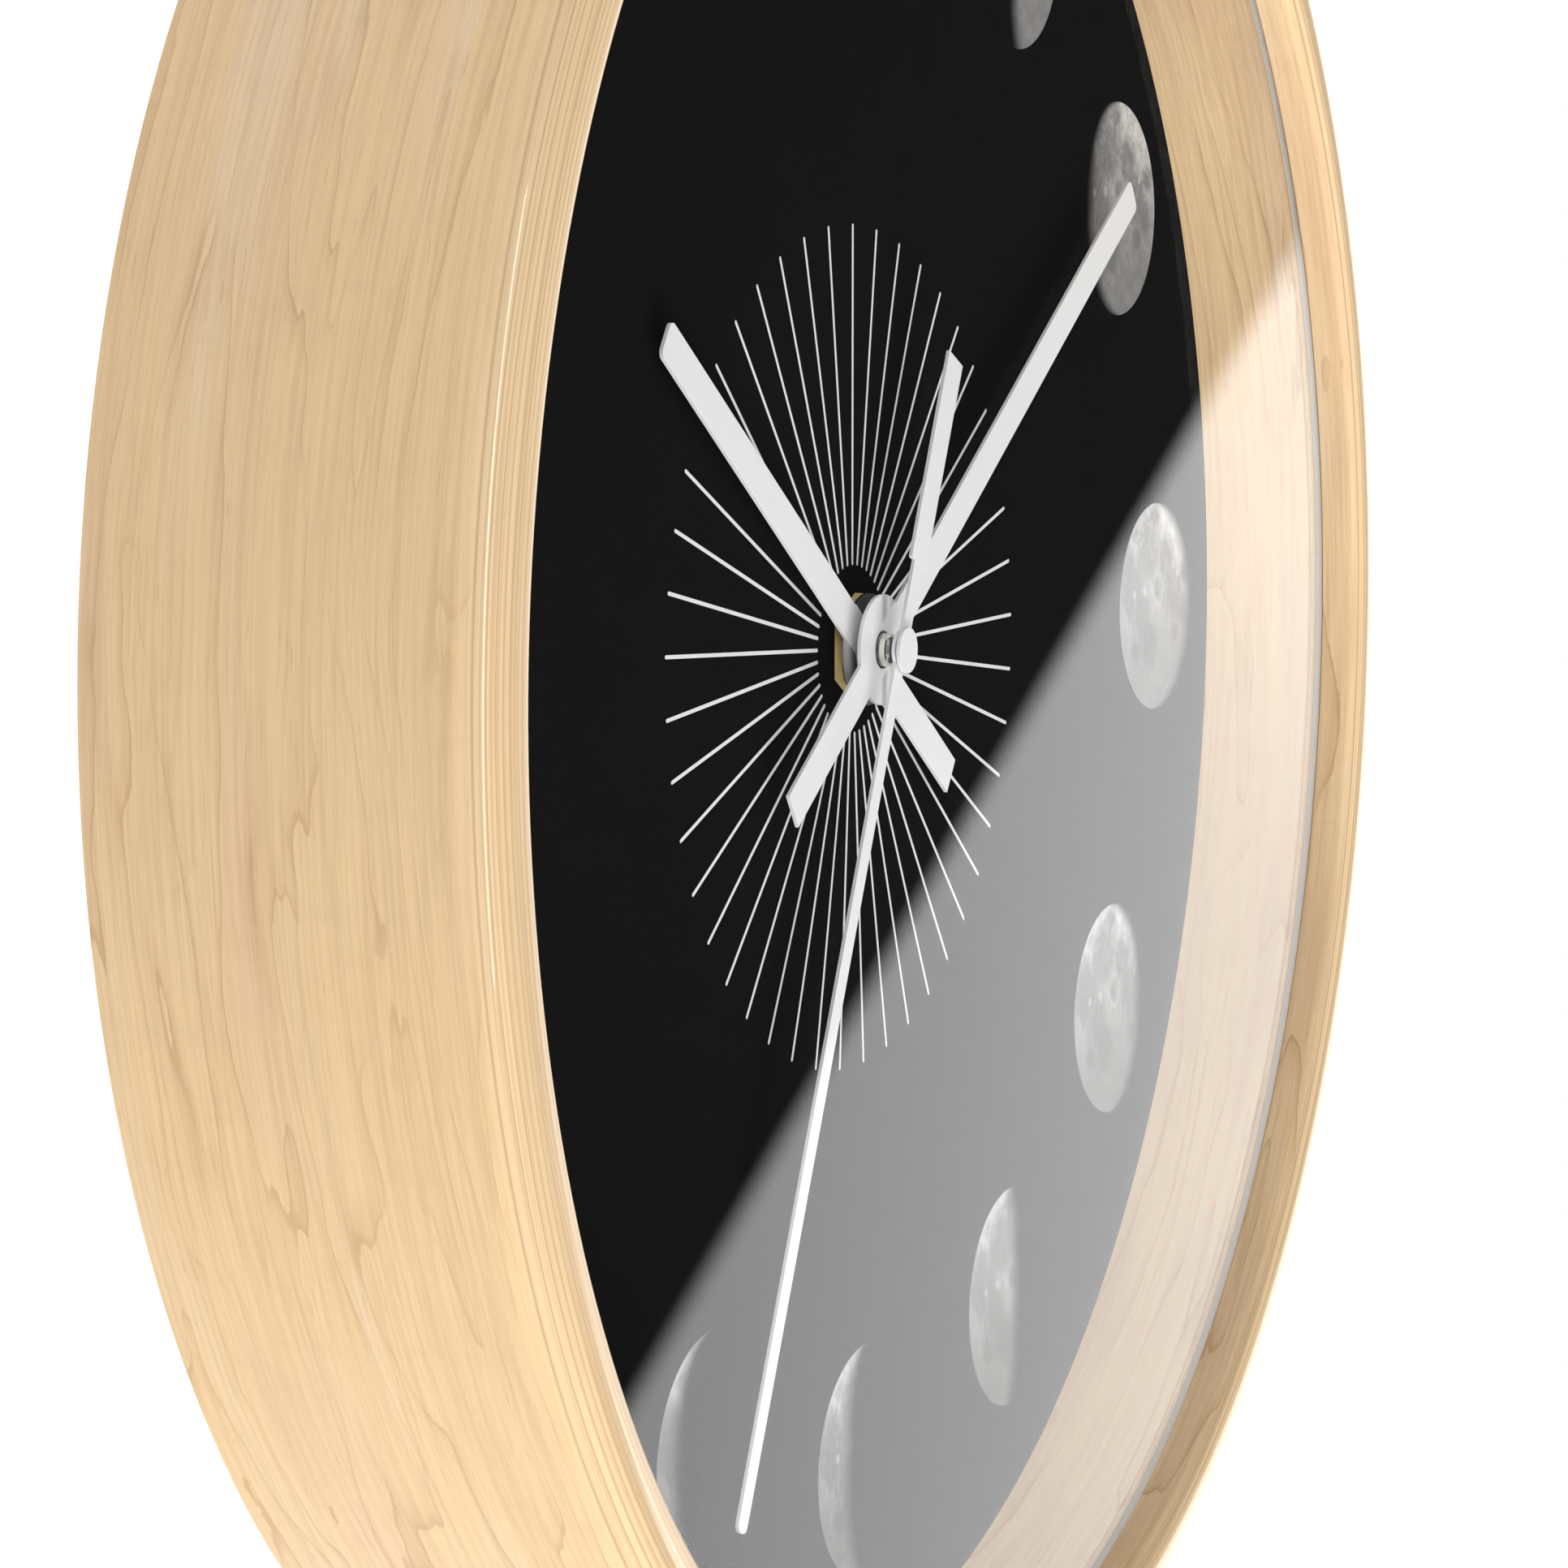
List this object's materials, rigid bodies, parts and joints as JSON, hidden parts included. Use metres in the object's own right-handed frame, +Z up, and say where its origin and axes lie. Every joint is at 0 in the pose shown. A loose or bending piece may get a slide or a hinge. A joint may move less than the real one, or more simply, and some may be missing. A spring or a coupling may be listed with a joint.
{
  "type": "wall clock",
  "caption": "Round wall clock: a deep bent-ply ring round a black dial with moon phases and rays, plain white hands, and a quartz movement behind.",
  "frame": {"origin": "the point on the wall plane at the height of the hanger's bearing edge, on the clock's vertical centre line", "axes": "+Y into the wall, so the clock faces -Y; +Z up; +X to the right as seen from the front"},
  "size_m": [0.254, 0.0431, 0.254],
  "materials": {
    "maple_ply": "bent maple ply, satin lacquer",
    "clear_acrylic": "clear, polished",
    "dial_print": "satin black print with white moon phases and rays",
    "hardboard": "bare brown hardboard",
    "black_rubber": "soft, matt",
    "brass": "turned, bare",
    "black_plastic": "moulded, fine satin",
    "natural_acetal": "moulded, natural",
    "white_paint": "white, semi-gloss",
    "chrome": "polished",
    "steel": "stamped, bare",
    "sintered_magnet": "sintered, dark",
    "enamelled_copper": "fine enamelled copper wire",
    "nickelled_steel": "nickel plated",
    "circuit_laminate": "green solder mask",
    "black_epoxy": "cast dome",
    "cell_sleeve": "plain dark sleeve, bare metal ends"
  },
  "bodies": {
    "frame": {"frame_ring": "maple_ply", "front_cover": "clear_acrylic", "dial_print": "dial_print", "dial_board": "hardboard", "backing_hoop": "maple_ply", "cushion_washer": "black_rubber", "fixing_nut": "brass", "threaded_stem": "brass", "movement_case": "black_plastic", "movement_lid": "black_plastic", "positive_contact": "nickelled_steel", "negative_contact": "nickelled_steel", "circuit_board": "circuit_laminate", "quartz_crystal": "nickelled_steel", "clock_chip": "black_epoxy", "coil_core": "steel", "coil_bobbin": "natural_acetal", "coil_winding": "enamelled_copper", "stator_plate": "steel", "stator_screw_lower": "steel", "stator_screw_upper": "steel"},
    "seconds": {"second_wheel": "natural_acetal", "second_hand": "white_paint", "second_hand_cap": "white_paint", "second_hand_tube": "chrome"},
    "minutes": {"centre_wheel": "natural_acetal", "minute_pipe": "steel", "minute_hand": "white_paint", "minute_collet": "chrome"},
    "hours": {"hour_wheel": "natural_acetal", "hour_hand": "white_paint", "hour_collet": "white_paint"},
    "third": {"third_wheel": "natural_acetal"},
    "motion": {"motion_wheel": "natural_acetal"},
    "intermediate": {"intermediate_wheel": "natural_acetal"},
    "rotor": {"rotor_pinion": "natural_acetal", "rotor_magnet": "sintered_magnet"},
    "setting": {"setting_arbor": "natural_acetal", "setting_knob": "black_plastic"},
    "cell": {"battery": "cell_sleeve"}
  },
  "joints": [
    {"name": "second_hand_turn", "type": "hinge", "parent": "frame", "child": "seconds", "pos_m": [0, 0, -0.0395], "axis": [0, 1, 0], "continuous": true},
    {"name": "minute_hand_turn", "type": "hinge", "parent": "frame", "child": "minutes", "pos_m": [0, 0, -0.0395], "axis": [0, 1, 0], "continuous": true},
    {"name": "hour_hand_turn", "type": "hinge", "parent": "frame", "child": "hours", "pos_m": [0, 0, -0.0395], "axis": [0, 1, 0], "continuous": true},
    {"name": "third_wheel_turn", "type": "hinge", "parent": "frame", "child": "third", "pos_m": [0, 0, -0.0305], "axis": [0, 1, 0], "continuous": true},
    {"name": "motion_wheel_turn", "type": "hinge", "parent": "frame", "child": "motion", "pos_m": [0.0072, 0, -0.0395], "axis": [0, 1, 0], "continuous": true},
    {"name": "intermediate_wheel_turn", "type": "hinge", "parent": "frame", "child": "intermediate", "pos_m": [0.00791, 0, -0.03775], "axis": [0, 1, 0], "continuous": true},
    {"name": "rotor_turn", "type": "hinge", "parent": "frame", "child": "rotor", "pos_m": [0.0157, 0, -0.03602], "axis": [0, 1, 0], "continuous": true},
    {"name": "setting_knob_turn", "type": "hinge", "parent": "frame", "child": "setting", "pos_m": [-0.01, 0, -0.0395], "axis": [0, 1, 0], "continuous": true},
    {"name": "battery_removal", "type": "slide", "parent": "frame", "child": "cell", "axis": [0, 1, 0], "range_m": [0, 0.025]}
  ],
  "couplings": [
    {"joint": "minute_hand_turn", "follows": "second_hand_turn", "ratio": 0.016667},
    {"joint": "hour_hand_turn", "follows": "second_hand_turn", "ratio": 0.0013889},
    {"joint": "third_wheel_turn", "follows": "second_hand_turn", "ratio": -0.13333},
    {"joint": "motion_wheel_turn", "follows": "second_hand_turn", "ratio": -0.0055556},
    {"joint": "intermediate_wheel_turn", "follows": "second_hand_turn", "ratio": -5},
    {"joint": "rotor_turn", "follows": "second_hand_turn", "ratio": 30},
    {"joint": "setting_knob_turn", "follows": "second_hand_turn", "ratio": -0.066667}
  ]
}
